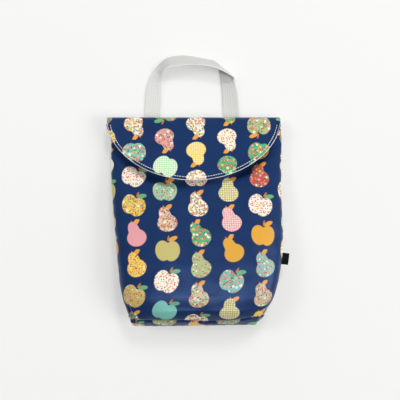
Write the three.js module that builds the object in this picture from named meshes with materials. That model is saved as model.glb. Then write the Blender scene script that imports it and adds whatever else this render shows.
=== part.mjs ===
// A flap pouch of laminated cotton with a webbing handle, lying on its back.
// Millimetres. +X runs to the right, +Y from the bottom seam to the handle, +Z up from the table.
// The origin is on the flat of the back. "level" is the height above the bottom seam, along Y.

import * as THREE from 'three';

// Pouch outline
const pouchLength = 250;
const sideHalfWidth = 98.5;
const sideFlare = 0.025;
const cornerReach = 95;
const cornerDraw = 28;
const cornerPower = 1.65;
const sway = 3.8;
const swayLevel = 70;
const swayReach = 45;
const restingOffset = -1;

// Pouch depth
const fullDepth = 50;
const mouthDepth = 17;
const gussetLevel = 45;
const slimPower = 1.6;
const mouthSetback = 22;
const bottomTurn = 17;
const bottomPower = 1.7;
const seamShare = 0.42;
const bottomSquareness = 3.6;
const mouthSquareness = 2.2;
const flatOvershoot = 1.2;

// Cloth
const outerCloth = 0.9;
const liningCloth = 0.6;
const plyGap = 0.3;
const seamGap = 0.3;

// Top fold and flap
const foldRadius = 7.5;
const foldOverhang = 1.5;
const foldShift = 3;
const flapDrop = 76.6;
const flapCorner = 2.5;
const flapPower = 1.95;
const flapClearance = 2.8;
const creaseGap = 0.3;

// Webbing handle
const webbingWidth = 20;
const webbingThickness = 1.4;
const webbingEndLength = 32;
const handleSeat = 0.9;
const handleFloat = 0.1;
const handleTilt = 58;
const handleBevel = 1.6;
const tiltStart = 158;
const tiltRun = 20;
const legSettle = 15;
const handleInset = 0.5;
const handleRoute = [
  [-52.2, 155],
  [-47.9, 175.8],
  [-35, 188.8],
  [-8, 192.2],
  [17.5, 188.7],
  [32, 176.6],
  [37.6, 160.5],
];
const leftLegX = -53.7;
const rightLegX = 40.2;
const liftRamp = 15;

// Thread
const threadWidth = 0.7;
const threadHeight = 0.5;
const threadGap = 0.3;
const stitchInset = 3;
const boxStitchInset = 6.5;

// Closure patches, hook on the flap and loop on the front
const patchWidth = 60;
const patchHeight = 20;
const patchCloth = 0.9;
const patchSetback = 35;

// Side label
const labelReach = 8.4;
const labelHeight = 13.8;
const labelCloth = 0.6;
const labelLevel = 80.6;
const labelTilt = -8;

// Mesh fineness
const acrossSteps = 22;
const bottomSteps = 4;
const bodySteps = 9;
const rampSteps = 3;
const rimSteps = 2;
const arcSteps = 4;
const flapRows = 8;
const handleSteps = 34;
const labelSteps = 3;

// Sizes that follow
const mouthLevel = pouchLength - mouthSetback;
const patchLevel = mouthLevel - patchSetback;
const lift = handleSeat + webbingThickness + plyGap;
const foldLevel = pouchLength - foldRadius;
const foldHeight = lift + foldRadius;
const liningInset = outerCloth + plyGap;
const doubledCloth = liningInset + liningCloth;
const originLevel = pouchLength / 2;
const swingY = pouchLength - handleInset - originLevel;
const liftedFrom = pouchLength - handleInset - webbingEndLength - seamGap;
const flatEnd = liftedFrom - liftRamp;

const clamp = (value) => Math.min(1, Math.max(0, value));
const smooth = (value) => clamp(value) ** 2 * (3 - 2 * clamp(value));
const mix = (a, b, share) => a + (b - a) * share;
const steps = (count) => Array.from({ length: count + 1 }, (_, i) => i / count);

// How far the cloth at a level has come from the mouth to the fold, 0 to 1.
const towardsFold = (level) => smooth((level - mouthLevel) / (pouchLength - mouthLevel));

// The side seams run almost straight and draw in to the bottom corners on an arc.
function halfWidthAt(level) {
  const draw = clamp((cornerReach - level) / cornerReach) ** cornerPower;
  const flare = sideFlare * (level - cornerReach);
  return sideHalfWidth + flare - cornerDraw * (1 - Math.sqrt(1 - draw)) + foldOverhang * towardsFold(level);
}

// The pouch lies slightly crooked: its middle line sways to the right low down.
function centreAt(level) {
  const swayed = sway * Math.exp(-(((level - swayLevel) / swayReach) ** 2));
  return restingOffset + swayed - foldShift * towardsFold(level);
}

// Full depth at the gusset, slimming to the mouth.
function depthAt(level) {
  const share = clamp((level - gussetLevel) / (mouthLevel - gussetLevel)) ** slimPower;
  return mix(fullDepth, mouthDepth, share);
}

// The back is flat on the table and lifts over the sewn webbing ends.
const floorAt = (level) => lift * smooth((level - flatEnd) / liftRamp);

// Height of the side seam, which runs down to the back above the mouth.
function seamHeightAt(level) {
  const share = smooth((level - mouthLevel) / (foldLevel - mouthLevel));
  return mix(seamShare * depthAt(level), floorAt(level), share);
}

function squarenessAt(level) {
  return mix(bottomSquareness, mouthSquareness, clamp(level / mouthLevel));
}

// Share of the full depth at a level: a rounded turn up from the bottom seam.
function bottomShare(level, inset) {
  const share = clamp((level - inset) / (bottomTurn - inset));
  return (1 - (1 - share) ** bottomPower) ** (1 / bottomPower);
}

// The rows of a layer start at its own inset from the bottom seam.
const insetLevel = (level, inset) =>
  level < bottomTurn ? mix(inset, bottomTurn, level / bottomTurn) : level;

// One point of a section: a superellipse from the right seam over the middle to the left seam.
function sectionPoint(level, share, inset) {
  const angle = Math.PI * share;
  const power = 2 / squarenessAt(level);
  const halfWidth = halfWidthAt(level) - inset;
  const x = centreAt(level) + halfWidth * Math.sign(Math.cos(angle)) * Math.abs(Math.cos(angle)) ** power;
  return { x, rise: Math.max(0, Math.sin(angle)) ** power };
}

function frontPoint(row, share, inset) {
  const level = insetLevel(row, inset);
  const { x, rise } = sectionPoint(level, share, inset);
  const base = seamHeightAt(level) + seamGap / 2;
  const height = (depthAt(level) - base - inset) * bottomShare(level, inset);
  return new THREE.Vector3(x, level - originLevel, base + height * rise);
}

function backPoint(row, share, inset) {
  const level = insetLevel(row, inset);
  const { x, rise } = sectionPoint(level, share, inset);
  const floor = floorAt(level) + inset;
  const base = Math.max(floor, seamHeightAt(level) - seamGap / 2);
  const drop = (base + flatOvershoot - floor) * bottomShare(level, inset);
  return new THREE.Vector3(x, level - originLevel, Math.max(floor, base - drop * rise));
}

// A ring around the fold's middle line, from the back at -90 degrees to the flap at +90.
function foldPoint(degrees, share, inset) {
  const angle = THREE.MathUtils.degToRad(degrees);
  const level = foldLevel + (foldRadius - inset) * Math.cos(angle);
  const x = centreAt(pouchLength) + halfWidthAt(foldLevel) * Math.cos(Math.PI * share);
  const edge = sectionPoint(foldLevel, share, inset).x;
  const turned = (degrees + 90) / 90;
  return new THREE.Vector3(
    mix(edge, x, smooth(turned)),
    level - originLevel,
    foldHeight + (foldRadius - inset) * Math.sin(angle),
  );
}

// Height of the front's outer face over a place on the table.
function frontHeight(x, level) {
  const kept = Math.min(level, mouthLevel);
  const power = squarenessAt(kept);
  const across = Math.min(1, Math.abs(x - centreAt(kept)) / halfWidthAt(kept));
  const base = seamHeightAt(kept);
  return base + (depthAt(kept) - base) * (1 - across ** power) ** (1 / power);
}

// Height of a layer of the flap: level with the fold's top, then lying over the front.
function flapHeight(x, y, above) {
  const level = y + originLevel;
  const draped = frontHeight(x, level) + flapClearance;
  const folded = foldHeight + foldRadius - doubledCloth;
  return mix(folded, draped, smooth((foldLevel - level) / (foldLevel - mouthLevel))) + above;
}

// The flap's rounded edge, from the left corner round to the right one.
function flapEdge(share, inset) {
  const middle = centreAt(pouchLength);
  const halfWidth = halfWidthAt(foldLevel) - inset;
  const drop = flapDrop - inset;
  const first = Math.asin(((foldRadius + flapCorner) / flapDrop) ** (flapPower / 2));
  const angle = mix(first, Math.PI - first, share);
  const power = 2 / flapPower;
  const x = -Math.sign(Math.cos(angle)) * Math.abs(Math.cos(angle)) ** power * halfWidth;
  return new THREE.Vector2(middle + x, pouchLength - originLevel - drop * Math.sin(angle) ** power);
}

// Joins a grid of points above to the matching grid below into one closed body, facing out.
function closedSheet(rows, columns, above, below, ringed = false) {
  const positions = [];
  const index = [];
  const wide = columns.length;
  const layer = rows.length * wide;
  [above, below].forEach((place) =>
    rows.forEach((row) => columns.forEach((column) => positions.push(...place(row, column).toArray()))),
  );
  const at = (level, i, j) => level * layer + i * wide + (ringed ? j % wide : j);
  const quad = (a, b, c, d) => index.push(a, b, c, a, c, d);
  const lastRow = rows.length - 1;
  const columnCells = ringed ? wide : wide - 1;
  for (let i = 0; i < lastRow; i += 1) {
    for (let j = 0; j < columnCells; j += 1) {
      quad(at(0, i, j), at(0, i, j + 1), at(0, i + 1, j + 1), at(0, i + 1, j));
      quad(at(1, i, j), at(1, i + 1, j), at(1, i + 1, j + 1), at(1, i, j + 1));
    }
    if (!ringed) {
      quad(at(0, i, 0), at(0, i + 1, 0), at(1, i + 1, 0), at(1, i, 0));
      quad(at(0, i, wide - 1), at(1, i, wide - 1), at(1, i + 1, wide - 1), at(0, i + 1, wide - 1));
    }
  }
  for (let j = 0; j < columnCells; j += 1) {
    quad(at(0, 0, j), at(1, 0, j), at(1, 0, j + 1), at(0, 0, j + 1));
    quad(at(0, lastRow, j), at(0, lastRow, j + 1), at(1, lastRow, j + 1), at(1, lastRow, j));
  }
  const geometry = new THREE.BufferGeometry();
  geometry.setAttribute('position', new THREE.Float32BufferAttribute(positions, 3));
  geometry.setIndex(signedVolume(positions, index) < 0 ? index.reverse() : index);
  geometry.computeVertexNormals();
  return geometry;
}

// Six times the volume is summed from the origin over the faces.
function signedVolume(positions, index) {
  const corner = (k) => new THREE.Vector3().fromArray(positions, 3 * index[k]);
  let sum = 0;
  for (let k = 0; k < index.length; k += 3) {
    sum += corner(k).dot(corner(k + 1).cross(corner(k + 2)));
  }
  return sum / 6;
}

// Materials
const finish = (color, roughness) => new THREE.MeshStandardMaterial({ color, roughness, metalness: 0 });
const printedCotton = () => finish(0x2d4b87, 0.45);
const liningFabric = () => finish(0xe8e6df, 0.6);
const cottonWebbing = () => finish(0xe1e1df, 0.85);
const whiteThread = () => finish(0xf2f1ec, 0.7);
const fasteningTape = () => finish(0xe9e9e6, 0.95);
const labelRibbon = () => finish(0x14151a, 0.6);

const pouch = new THREE.Group();
function addPiece(name, geometry, material) {
  const piece = new THREE.Mesh(geometry, material);
  piece.name = name;
  pouch.add(piece);
  return piece;
}

const across = steps(acrossSteps);
const bottomRows = steps(bottomSteps).map((s) => bottomTurn * (1 - Math.cos((s * Math.PI) / 2)));
const bodyRows = steps(bodySteps).slice(1).map((s) => mix(bottomTurn, flatEnd, s));
const rampRows = steps(rampSteps).slice(1).map((s) => mix(flatEnd, liftedFrom, s));
const frontRows = [...bottomRows, ...bodyRows, ...rampRows, mouthLevel];
const rimRows = steps(rimSteps).slice(1).map((s) => mix(mouthLevel, foldLevel, s));

// Two plies, from the outer face inwards: the outer cloth and, past the ply gap, the lining.
const plies = [
  { start: 0, cloth: outerCloth, outer: true },
  { start: liningInset, cloth: liningCloth, outer: false },
];

function makeFront() {
  plies.forEach(({ start, cloth, outer }) => {
    const geometry = closedSheet(
      frontRows,
      across,
      (row, share) => frontPoint(row, share, start),
      (row, share) => frontPoint(row, share, start + cloth),
    );
    addPiece(outer ? 'front_panel' : 'front_lining', geometry, outer ? printedCotton() : liningFabric());
  });
}

// The back goes on past the mouth and turns up to the middle of the fold.
function makeBack() {
  const creaseAngle = THREE.MathUtils.radToDeg(creaseGap / 2 / (foldRadius - doubledCloth));
  const arcRows = steps(arcSteps).slice(1).map((s) => ({ degrees: mix(-90, -creaseAngle, s) }));
  const rows = [...frontRows, ...rimRows, ...arcRows];
  const place = (row, share, inset) =>
    row.degrees === undefined ? backPoint(row, share, inset) : foldPoint(row.degrees, share, inset);
  plies.forEach(({ start, cloth, outer }) => {
    const geometry = closedSheet(
      rows,
      across,
      (row, share) => place(row, share, start),
      (row, share) => place(row, share, start + cloth),
    );
    addPiece(outer ? 'back_panel' : 'back_lining', geometry, outer ? printedCotton() : liningFabric());
  });
}

// The upper quarter of the fold turns on the crease at its middle.
function makeFold() {
  const creaseAngle = THREE.MathUtils.radToDeg(creaseGap / 2 / (foldRadius - doubledCloth));
  const rows = steps(arcSteps).map((s) => mix(creaseAngle, 90 - creaseAngle, s));
  plies.forEach(({ start, cloth, outer }) => {
    const geometry = closedSheet(
      rows,
      across,
      (degrees, share) => foldPoint(degrees, share, start),
      (degrees, share) => foldPoint(degrees, share, start + cloth),
    );
    addPiece(outer ? 'fold_outer' : 'fold_lining', geometry, outer ? printedCotton() : liningFabric());
  });
}

function makeFlap() {
  const hingeY = foldLevel - creaseGap / 2 - originLevel;
  const rows = steps(flapRows);
  const place = (row, share, above) => {
    const edge = flapEdge(share, 0);
    const y = mix(hingeY, edge.y, row);
    return new THREE.Vector3(edge.x, y, flapHeight(edge.x, y, above));
  };
  plies.forEach(({ start, cloth, outer }) => {
    const top = doubledCloth - start;
    const geometry = closedSheet(
      rows,
      across,
      (row, share) => place(row, share, top),
      (row, share) => place(row, share, top - cloth),
    );
    addPiece(outer ? 'flap_outer' : 'flap_lining', geometry, outer ? printedCotton() : liningFabric());
  });
}

// A flat thread along a route on a surface; height(x, y) is the surface below it.
function thread(route, height, ringed) {
  const place = (station, side, above) => {
    const next = route[(station + 1) % route.length];
    const before = route[(station + route.length - 1) % route.length];
    const ahead = !ringed && station === route.length - 1 ? route[station] : next;
    const behind = !ringed && station === 0 ? route[0] : before;
    const along = ahead.clone().sub(behind).normalize();
    const x = route[station].x - along.y * side * (threadWidth / 2);
    const y = route[station].y + along.x * side * (threadWidth / 2);
    return new THREE.Vector3(x, y, height(x, y) + above);
  };
  return closedSheet(
    [-1, 1],
    route.map((_, station) => station),
    (side, station) => place(station, side, threadHeight),
    (side, station) => place(station, side, 0),
    ringed,
  );
}

function makeTopstitching() {
  const flapRoute = steps(2 * acrossSteps).map((share) => flapEdge(share, stitchInset));
  const onFlap = (x, y) => flapHeight(x, y, doubledCloth + threadGap);
  addPiece('flap_topstitch', thread(flapRoute, onFlap, false), whiteThread());
  const level = mouthLevel - stitchInset;
  const reach = halfWidthAt(level) - 2 * stitchInset;
  const mouthRoute = steps(acrossSteps).map(
    (share) => new THREE.Vector2(centreAt(level) + mix(-reach, reach, share), level - originLevel),
  );
  const onFront = (x, y) => frontHeight(x, y + originLevel) + seamGap / 2 + threadGap;
  addPiece('mouth_topstitch', thread(mouthRoute, onFront, false), whiteThread());
}

// A rectangle of points around a middle, in plan.
function rectangleRoute(middle, halfX, halfY, perSide) {
  const corners = [
    [-halfX, -halfY],
    [halfX, -halfY],
    [halfX, halfY],
    [-halfX, halfY],
  ];
  return corners.flatMap(([x, y], i) => {
    const [nextX, nextY] = corners[(i + 1) % 4];
    return steps(perSide)
      .slice(0, -1)
      .map((s) => new THREE.Vector2(middle.x + mix(x, nextX, s), middle.y + mix(y, nextY, s)));
  });
}

// Each closure patch follows the front's face and is framed by its sewing thread.
function makeClosure() {
  const middle = new THREE.Vector2(centreAt(patchLevel), patchLevel - originLevel);
  const acrossPatch = steps(10).map((s) => middle.x + mix(-patchWidth / 2, patchWidth / 2, s));
  const upPatch = steps(3).map((s) => middle.y + mix(-patchHeight / 2, patchHeight / 2, s));
  const margin = threadGap + threadWidth / 2;
  const around = rectangleRoute(middle, patchWidth / 2 + margin, patchHeight / 2 + margin, 8);
  const heights = { loop_patch: plyGap, hook_patch: flapClearance - plyGap - patchCloth };
  Object.entries(heights).forEach(([name, low]) => {
    const surface = (x, y) => frontHeight(x, y + originLevel) + low;
    const geometry = closedSheet(
      upPatch,
      acrossPatch,
      (y, x) => new THREE.Vector3(x, y, surface(x, y) + patchCloth),
      (y, x) => new THREE.Vector3(x, y, surface(x, y)),
    );
    addPiece(name, geometry, fasteningTape());
    addPiece(`${name}_stitch`, thread(around, (x, y) => surface(x, y) + threadGap / 2, true), whiteThread());
  });
}

// The webbing stands on its outer edge round the bow, lies flat down the legs and meets its sewn ends square.
function handleSection(route, share) {
  const point = route.getPoint(share);
  const settled = smooth((point.y - swingY) / legSettle);
  const along = route.getTangent(share);
  along.setX(along.x * settled).normalize();
  const tilt = THREE.MathUtils.degToRad(handleTilt) * smooth((point.y - tiltStart) / tiltRun);
  const outwards = new THREE.Vector3(-along.y, along.x, 0).normalize();
  const wide = outwards.multiplyScalar(Math.cos(tilt)).setZ(-Math.sin(tilt));
  const thick = new THREE.Vector3().crossVectors(along, wide).normalize();
  const seat = mix(handleSeat, handleFloat, settled);
  const middle = point.clone().setZ(seat + (webbingWidth / 2) * Math.sin(tilt));
  return { middle, wide, thick: thick.z < 0 ? thick.negate() : thick };
}

function makeHandle() {
  const start = swingY + seamGap / 2;
  const route = new THREE.CatmullRomCurve3(
    [
      new THREE.Vector3(leftLegX, start, 0),
      ...handleRoute.map(([x, y]) => new THREE.Vector3(x, y, 0)),
      new THREE.Vector3(rightLegX, start, 0),
    ],
    false,
    'centripetal',
  );
  const place = (share, side, height) => {
    const { middle, wide, thick } = handleSection(route, share);
    const point = middle.addScaledVector(wide, (side * webbingWidth) / 2).addScaledVector(thick, height);
    const bevelled = height > 0 && (share === 0 || share === 1);
    return bevelled ? point.setY(point.y + handleBevel) : point;
  };
  const geometry = closedSheet(
    steps(handleSteps),
    [-1, 0, 1],
    (share, side) => place(share, side, webbingThickness),
    (share, side) => place(share, side, 0),
  );
  addPiece('handle_loop', geometry, cottonWebbing());
}

// Each end of the webbing is sewn flat under the back, with a box of stitching.
function makeHandleEnds() {
  const endY = swingY - seamGap / 2;
  [
    ['left', leftLegX],
    ['right', rightLegX],
  ].forEach(([side, x]) => {
    const end = new THREE.BoxGeometry(webbingWidth, webbingEndLength, webbingThickness);
    end.translate(x, endY - webbingEndLength / 2, handleSeat + webbingThickness / 2);
    addPiece(`handle_end_${side}`, end, cottonWebbing());
    const boxHeight = webbingEndLength - 2 * boxStitchInset;
    const middle = new THREE.Vector2(x, endY - boxStitchInset - boxHeight / 2);
    const box = rectangleRoute(middle, webbingWidth / 2 - stitchInset, boxHeight / 2, 4);
    const below = handleSeat - threadGap - threadHeight;
    addPiece(`handle_stitch_${side}`, thread(box, () => below, true), whiteThread());
  });
}

// A folded ribbon label that comes out of the right side seam and hangs a little downwards.
function makeLabel() {
  const slope = Math.tan(THREE.MathUtils.degToRad(labelTilt));
  const levels = steps(labelSteps).map((s) => labelLevel + labelHeight * (s - 0.5));
  const place = (level, out, height) =>
    new THREE.Vector3(
      centreAt(level) + halfWidthAt(level) + seamGap + out * labelReach,
      level - originLevel + slope * out * labelReach,
      seamHeightAt(labelLevel) + height,
    );
  const geometry = closedSheet(
    levels,
    [0, 1],
    (level, out) => place(level, out, labelCloth / 2),
    (level, out) => place(level, out, -labelCloth / 2),
  );
  addPiece('side_label', geometry, labelRibbon());
}

makeFront();
makeBack();
makeFold();
makeFlap();
makeTopstitching();
makeClosure();
makeHandle();
makeHandleEnds();
makeLabel();

export default pouch;
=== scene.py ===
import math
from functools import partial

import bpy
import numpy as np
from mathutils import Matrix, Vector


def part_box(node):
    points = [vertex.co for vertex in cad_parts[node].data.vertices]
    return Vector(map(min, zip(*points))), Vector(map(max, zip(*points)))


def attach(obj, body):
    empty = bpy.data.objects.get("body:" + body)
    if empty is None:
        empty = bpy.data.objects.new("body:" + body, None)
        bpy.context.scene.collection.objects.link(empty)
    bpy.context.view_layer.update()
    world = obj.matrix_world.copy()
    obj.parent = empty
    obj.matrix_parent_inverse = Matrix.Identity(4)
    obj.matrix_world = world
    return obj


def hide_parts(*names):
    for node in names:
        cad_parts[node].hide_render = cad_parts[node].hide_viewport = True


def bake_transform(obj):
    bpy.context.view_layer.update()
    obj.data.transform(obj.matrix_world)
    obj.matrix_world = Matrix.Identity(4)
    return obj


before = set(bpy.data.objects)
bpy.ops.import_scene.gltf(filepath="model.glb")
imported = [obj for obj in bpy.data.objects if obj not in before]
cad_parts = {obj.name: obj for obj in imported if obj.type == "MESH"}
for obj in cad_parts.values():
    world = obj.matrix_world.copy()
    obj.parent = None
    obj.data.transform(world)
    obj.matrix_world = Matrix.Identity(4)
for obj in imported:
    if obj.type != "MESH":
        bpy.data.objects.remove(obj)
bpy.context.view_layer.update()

# A flap pouch of laminated cotton with a webbing handle, lying on its back on a pale table.
# Sizes are in millimetres and turned to metres when a mesh is made. +X is right, +Y runs from
# the bottom seam to the handle, +Z is up. "level" is the height above the bottom seam, along Y.
# Three numbers under one name are the height, place and reach of a bump, and two numbers are
# where a ramp starts and ends, where no comment says otherwise.

MM = 0.001


def node_box(name):
    """Lowest and highest corner of a solid, in millimetres."""
    return [np.array(corner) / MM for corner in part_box(name)]


# Pouch, as the solids have it
BACK_LOW, BACK_HIGH = node_box("back_panel")
FRONT_HIGH = node_box("front_panel")[1]
POUCH_LENGTH = round(BACK_HIGH[1] - BACK_LOW[1], 1)
ORIGIN_LEVEL = POUCH_LENGTH / 2
MOUTH_LEVEL = round(FRONT_HIGH[1] + ORIGIN_LEVEL, 1)
FULL_DEPTH = round(FRONT_HIGH[2], 1)

# Profile seen from the side
MOUTH_DEPTH = 17.0
CREST_LEVEL = 44.0
CREST_ROUNDING = 0.01
SLIM_POWER = 1.55
SEAM_SHARE = 0.42
LIFT = 2.6
LIFT_RAMP = (202.2, 217.2)

# Outline seen from above
SIDE_HALF_WIDTH = 98.5
SIDE_FLARE = 0.04
CORNER_REACH = 95.0
CORNER_DRAW = 28.0
CORNER_POWER = 1.65
CORNER_SHARE = 0.93
CORNER_PINCH = (2.3, 18.0, 12.0)
CORNER_CUT = 3.6
CORNER_CUT_RAMP = (13.0, 0.0)
RESTING_OFFSET = -1.0
LOW_SWAY = (3.8, 70.0, 45.0)
HIGH_SWAY = (2.2, 114.0, 38.0)
FOLD_OVERHANG = -0.6
FOLD_SHIFT = 3.0

# Section and boxed bottom
BOTTOM_SQUARENESS = 3.6
MOUTH_SQUARENESS = 2.7
BOTTOM_TURN = 23.0
BOTTOM_POWER = 1.36
BOTTOM_ROLL = 4.0
BOTTOM_ROLL_RAMP = (42.0, 19.0)
FLAT_OVERSHOOT = 1.2
BOTTOM_TILT = 0.014
TILT_FROM = -50.0
TILT_RAMP = (60.0, 0.0)
EDGE_SHARE = 0.985

# Fold and flap
FOLD_RADIUS = 7.5
FOLD_LEVEL = POUCH_LENGTH - FOLD_RADIUS
FOLD_HEIGHT = LIFT + FOLD_RADIUS
RIM_Y = POUCH_LENGTH - ORIGIN_LEVEL
FOLD_Y = FOLD_LEVEL - ORIGIN_LEVEL
CREASE_DEGREES = 35.0
FLAP_START_Y = 116.5
FLAP_DROP = 76.6
FLAP_CORNER = 2.5
FLAP_POWER = 1.95
FLAP_CLEARANCE = 2.8
FLAP_RAMP = 26.0
FLAP_SLACK = 1.04
FLAP_LIFT = 4.4
FLAP_LIFT_POWER = 1.7
LEFT_LIFT = (2.8, -54.0, 36.0)
RIGHT_LIFT = (1.0, 56.0, 30.0)

# Cloth
OUTER_CLOTH = 0.9
LINING_CLOTH = 0.6
PLY_GAP = 0.3
LINING_INSET = OUTER_CLOTH + 0.1
DOUBLED_CLOTH = OUTER_CLOTH + PLY_GAP + LINING_CLOTH
ROLL_RADIUS = 0.62
ROLL_OUTSET = 0.15
ROLL_DROP = 0.75

# Waves of the cloth: height, length, and the seed of their directions
FRONT_WAVES = (0.7, 70.0, 11)
FRONT_RIPPLES = (0.25, 26.0, 12)
FLAP_WAVES = (0.35, 55.0, 21)
FLAP_WAVE_RAMP = (0.0, 1 / 3)

# Relief of the filled cloth
FULLNESS = 0.4
CALM_REACH = 12.0
TAPE_MARGIN = 1.5
HEM_MARGIN = 5.0
SEAM_GROOVE = 0.6
BACK_BOTTOM_GROOVE = 0.9
GROOVE_WIDTH = 1.7
PUCKER = 0.3
PUCKER_PITCH = 10.5
PUCKER_DRIFT = 1.6
PUCKER_DRIFT_LENGTH = 17.0
PUCKER_RISE = 2.5
PUCKER_FADE = 8.0
BACK_FREE_RAMP = (4.0, 14.0)
FLAP_HOLLOW = (12.0, 1.0, 8.5)
LEFT_HOLLOW = (1.0, -54.0, 34.0)
RIGHT_HOLLOW = (0.6, 60.0, 24.0)

# Creases of the two boxed corners: upper end, lower end and depth
CORNER_CREASES = [((-79.5, -97.0), (-72.5, -120.0), 1.8), ((82.0, -101.0), (71.0, -122.0), 1.0)]
CREASE_TOP_RAMP = (-88.0, -104.0)
CREASE_END_RAMP = (-126.0, -120.0)
CREASE_GROOVE = (1.0, 0.0, 1.9)
CREASE_RIB = (0.45, 3.6, 1.8)

# Strip that the front turns down at the bottom
STRIP_LEVEL = 9.0
STRIP_DIP = (2.0, 22.0, 30.0)
STRIP_CLIMB = 5.0
STRIP_CLIMB_RAMP = (40.0, 80.0)
STRIP_GROOVE = (1.7, 0.4, 1.3)
STRIP_CORNER_FADE = 9.0
STRIP_PRINT_SHIFT = 19.0
FRONT_PRINT_SHIFT = 17.0

# Stitches: length, gap, thickness, and the share of it that sinks into the cloth
FLAP_STITCH = (2.6, 0.4, 0.82, 0.25)
MOUTH_STITCH = (2.9, 0.7, 0.85, 0.25)
TAPE_STITCH = (2.4, 0.6, 0.6, 0.4)
WEBBING_STITCH = (2.6, 0.6, 0.7, 0.25)
STITCH_INSET = 3.0

# Closure
TAPE_THICKNESS = 0.9
TAPE_EDGE_SHARE = 0.55
TAPE_ROUNDING = 1.2
TAPE_STITCH_INSET = 1.6
FRONT_SEAT = FULLNESS + 0.02
FLAP_SEAT = FLAP_CLEARANCE - 0.25

# Webbing
WEBBING_WIDTH = 20.0
WEBBING_THICKNESS = 1.4
RIBS = 7
RIB_HEIGHT = 0.15
RIB_FADE_POWER = 6
SELVEDGE_POWER = 10
SELVEDGE_SHARE = 0.05
WEBBING_STITCH_Z = 0.75
# Painted shade on the webbing: the run where the bow's grey starts, where the right leg fades to its
# share of it, and the inner selvedge kept out of it
BAND_SHADE_RAMP = (86.0, 100.0)
RIGHT_LEG_SHADE_RAMP = (174.0, 186.0)
RIGHT_LEG_SHADE = 0.35
UNSHADED_SELVEDGE_RAMP = (18.3, 19.2)

# Rows and columns of the grids
FRONT_GRID = (210, 200)
BACK_GRID = (160, 150)
FLAP_GRID = (80, 220)
FOLD_COLUMNS = 180
WEBBING_GRID = (520, 57)
TAPE_GRID = (25, 61)
LABEL_GRID = (30, 30)

# Label
LABEL_LEVEL = 80.6
LABEL_HEIGHT = 13.8
LABEL_REACH = 8.4
LABEL_TUCK = 0.6
LABEL_EXTRA = 0.7
LABEL_DROOP = 0.14
LABEL_BEND = 0.8
LABEL_BEND_TURN = 2.2
LABEL_BEND_LEVEL = 0.4
LABEL_HALF = 0.4
LABEL_RIM_HALF = 0.16
LABEL_SIDE_RIM = 0.06
LABEL_END_RIM = 0.08


def ramp(value, start, end):
    """0 up to the start and 1 past the end, with a smooth step between them."""
    share = np.clip((value - start) / (end - start), 0, 1)
    return share * share * (3 - 2 * share)


def mix(a, b, share):
    return a + (b - a) * share


def join(*parts):
    """Coordinates joined to points, each one spread out to the shape of the others."""
    return np.stack(np.broadcast_arrays(*parts), -1)


def bump(value, height, place, reach):
    return height * np.exp(-(((value - place) / reach) ** 2))


def towards_fold(level):
    return ramp(level, MOUTH_LEVEL, POUCH_LENGTH)


def half_width(level):
    """The side seams run almost straight and draw in to the bottom corners on an arc."""
    draw = CORNER_SHARE * np.clip((CORNER_REACH - level) / CORNER_REACH, 0, 1) ** CORNER_POWER
    flare = SIDE_FLARE * (level - CORNER_REACH)
    arc = CORNER_DRAW * (1 - np.sqrt(np.clip(1 - draw, 0, 1)))
    arc = arc + bump(level, *CORNER_PINCH)
    return SIDE_HALF_WIDTH + flare - arc + FOLD_OVERHANG * towards_fold(level)


def centre(level):
    """The middle line sways to the right low down and to the left at the fold."""
    sway = bump(level, *LOW_SWAY) + bump(level, *HIGH_SWAY)
    return RESTING_OFFSET + sway - FOLD_SHIFT * towards_fold(level)


def depth(level):
    """Full depth low down and an even slope to the mouth, with a rounded crest between them."""
    share = (level - CREST_LEVEL) / (MOUTH_LEVEL - CREST_LEVEL)
    rounded = (share + np.sqrt(share**2 + CREST_ROUNDING**2)) / 2
    return mix(FULL_DEPTH, MOUTH_DEPTH, np.clip(rounded, 0, 1) ** SLIM_POWER)


def floor_height(level):
    return LIFT * ramp(level, *LIFT_RAMP)


def seam_height(level):
    return mix(SEAM_SHARE * depth(level), floor_height(level), ramp(level, MOUTH_LEVEL, FOLD_LEVEL))


def squareness(level):
    return mix(BOTTOM_SQUARENESS, MOUTH_SQUARENESS, np.clip(level / MOUTH_LEVEL, 0, 1))


def bottom_share(level):
    """The bottom turns up on a superellipse, from 0 at the seam to 1 where the faces run straight."""
    share = np.clip(level / BOTTOM_TURN, 0, 1)
    return (1 - (1 - share) ** BOTTOM_POWER) ** (1 / BOTTOM_POWER)


def section(level, turn):
    """A superellipse from the left seam (turn 0) over the middle to the right seam (turn 1)."""
    cosine = -np.cos(np.pi * turn)
    power = 2 / squareness(level)
    cut = CORNER_CUT * ramp(level, *CORNER_CUT_RAMP) * ramp(cosine, 0, 1)
    x = centre(level) + half_width(level) * np.sign(cosine) * np.abs(cosine) ** power - cut
    return x, np.clip(np.sin(np.pi * turn), 0, None) ** power


def along_y(x, level):
    """Y of a level; the bottom seam climbs a little to the right."""
    climb = BOTTOM_TILT * np.clip(x - TILT_FROM, 0, None) * ramp(level, *TILT_RAMP)
    return level - ORIGIN_LEVEL + climb


def front_point(level, turn):
    """The front rises from the side seam by the section's share of the depth left above it."""
    x, rise = section(level, turn)
    base = seam_height(level)
    rolled = depth(level) - BOTTOM_ROLL * ramp(level, *BOTTOM_ROLL_RAMP)
    height = (rolled - base) * bottom_share(level)
    return join(x, along_y(x, level), base + height * rise)


def back_point(level, turn):
    """The back drops from the side seam on the same section, and flattens where it meets the table."""
    x, rise = section(level, turn)
    base = seam_height(level)
    drop = (base + FLAT_OVERSHOOT - floor_height(level)) * bottom_share(level)
    z = np.maximum(floor_height(level), base - drop * rise)
    return join(x, along_y(x, level), z)


def front_height(x, level, edge_share=1.0):
    """Height of the front over a place on the table. An edge share under 1 keeps it off the seam."""
    kept = np.minimum(level, MOUTH_LEVEL)
    power = squareness(kept)
    across = np.minimum(1, edge_share * np.abs(x - centre(kept)) / half_width(kept))
    base = seam_height(kept)
    return base + (depth(kept) - base) * (1 - across**power) ** (1 / power)


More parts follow.
